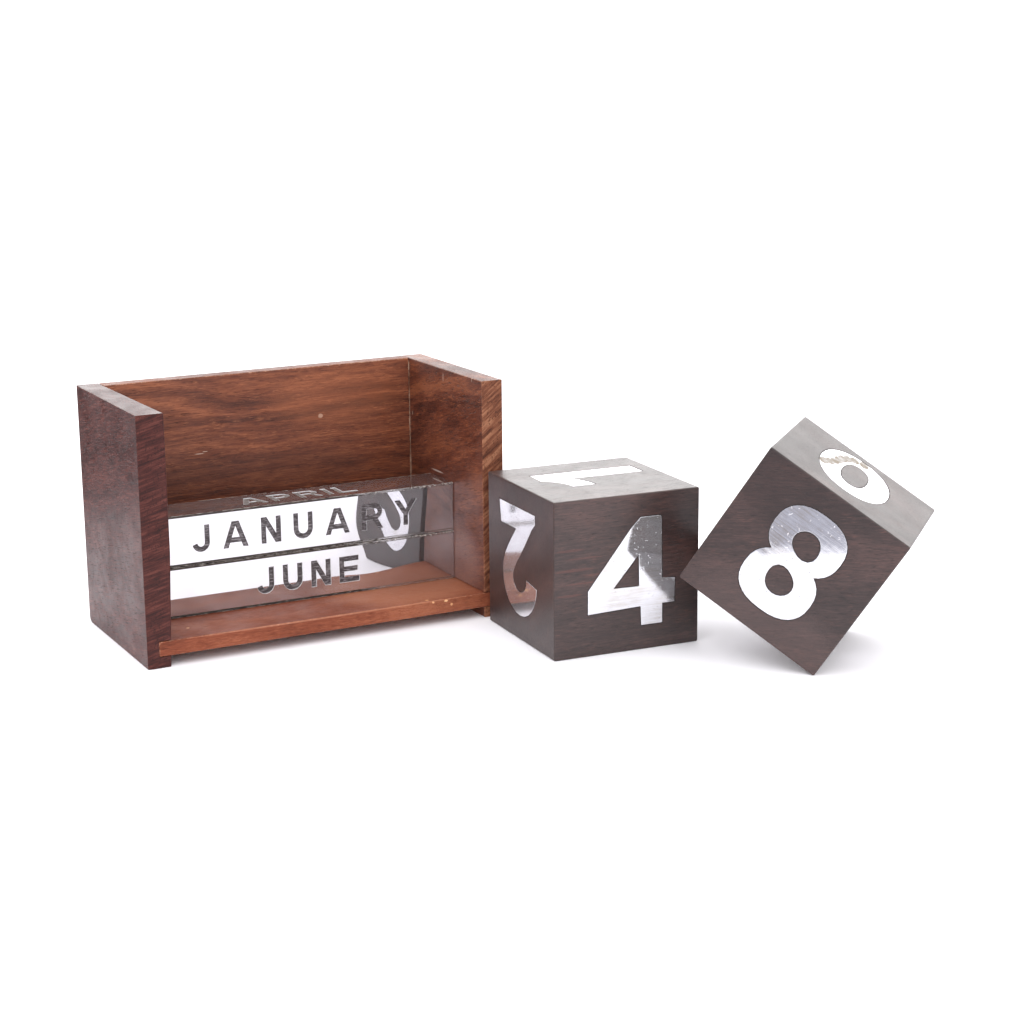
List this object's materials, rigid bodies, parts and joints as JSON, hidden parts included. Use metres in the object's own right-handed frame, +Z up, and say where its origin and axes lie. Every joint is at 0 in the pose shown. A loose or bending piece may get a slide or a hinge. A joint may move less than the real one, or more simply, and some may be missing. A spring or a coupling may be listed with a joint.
{
  "type": "perpetual desk calendar",
  "caption": "Open-fronted wooden desk tray with loose mirror-faced month bars and two loose dark wooden date cubes with inlaid metal numerals, for a perpetual block calendar.",
  "frame": {"origin": "middle of the whole set's footprint, on the surface it stands on", "axes": "+Z up; -Y the open front of the tray; +X to the right along the tray's width, towards the cubes"},
  "size_m": [0.2886, 0.2338, 0.1],
  "materials": {
    "side_panel_wood": "red-brown rosewood, sanded and thinly polished",
    "back_panel_wood": "red-brown rosewood with streaked grain, thinly polished",
    "floor_board_wood": "plain lighter orange-brown rosewood, satin",
    "bar_core_wood": "raw sawn wood",
    "date_cube_wood": "charcoal-brown stained, fine grain, satin",
    "month_plate_metal": "mirror polished, names engraved and filled with dark grey enamel",
    "numeral_metal": "polished with fine scratches",
    "brad_steel": "dull steel"
  },
  "bodies": {
    "tray": {"side_panel_left": "side_panel_wood", "side_panel_right": "side_panel_wood", "back_panel": "back_panel_wood", "floor_board": "floor_board_wood", "brad_left_back_lower": "brad_steel", "brad_left_back_upper": "brad_steel", "brad_left_floor_front": "brad_steel", "brad_left_floor_rear": "brad_steel", "brad_right_back_lower": "brad_steel", "brad_right_back_upper": "brad_steel", "brad_right_floor_front": "brad_steel", "brad_right_floor_rear": "brad_steel"},
    "month_bar_1": {"month_bar_1_core": "bar_core_wood", "month_bar_1_front_plate_january": "month_plate_metal", "month_bar_1_bottom_plate_february": "month_plate_metal", "month_bar_1_back_plate_march": "month_plate_metal", "month_bar_1_top_plate_april": "month_plate_metal"},
    "month_bar_2": {"month_bar_2_core": "bar_core_wood", "month_bar_2_front_plate_june": "month_plate_metal", "month_bar_2_bottom_plate_july": "month_plate_metal", "month_bar_2_back_plate_august": "month_plate_metal", "month_bar_2_top_plate_may": "month_plate_metal"},
    "month_bar_3": {"month_bar_3_core": "bar_core_wood", "month_bar_3_front_plate_september": "month_plate_metal", "month_bar_3_bottom_plate_october": "month_plate_metal", "month_bar_3_back_plate_november": "month_plate_metal", "month_bar_3_top_plate_december": "month_plate_metal"},
    "date_cube_1": {"date_cube_1_block": "date_cube_wood", "date_cube_1_numeral_4": "numeral_metal", "date_cube_1_numeral_2": "numeral_metal", "date_cube_1_numeral_1": "numeral_metal", "date_cube_1_numeral_5": "numeral_metal", "date_cube_1_numeral_3": "numeral_metal", "date_cube_1_numeral_0": "numeral_metal"},
    "date_cube_2": {"date_cube_2_block": "date_cube_wood", "date_cube_2_numeral_8": "numeral_metal", "date_cube_2_numeral_0": "numeral_metal", "date_cube_2_numeral_7": "numeral_metal", "date_cube_2_numeral_6": "numeral_metal", "date_cube_2_numeral_2": "numeral_metal", "date_cube_2_numeral_1": "numeral_metal"}
  },
  "joints": [
    {"name": "month_bar_2_lift", "type": "slide", "parent": "tray", "child": "month_bar_2", "axis": [0, 0, 1], "range_m": [0, 0.095]},
    {"name": "month_bar_1_flip", "type": "hinge", "parent": "month_bar_2", "child": "month_bar_1", "pos_m": [-0.06526, 0.06744, 0.03165], "axis": [1, 0, 0], "range_deg": [0, 180]},
    {"name": "month_bar_3_lift", "type": "slide", "parent": "tray", "child": "month_bar_3", "axis": [0, 0, 1], "range_m": [0, 0.095]},
    {"name": "date_cube_1_lift", "type": "slide", "parent": "tray", "child": "date_cube_1", "axis": [0, 0, 1], "range_m": [0, 0.1]},
    {"name": "date_cube_2_tip", "type": "hinge", "parent": "tray", "child": "date_cube_2", "pos_m": [0.07426, -0.09158, 0.0007], "axis": [0.7337, 0.6794, 0], "range_deg": [0, 56.6]}
  ]
}
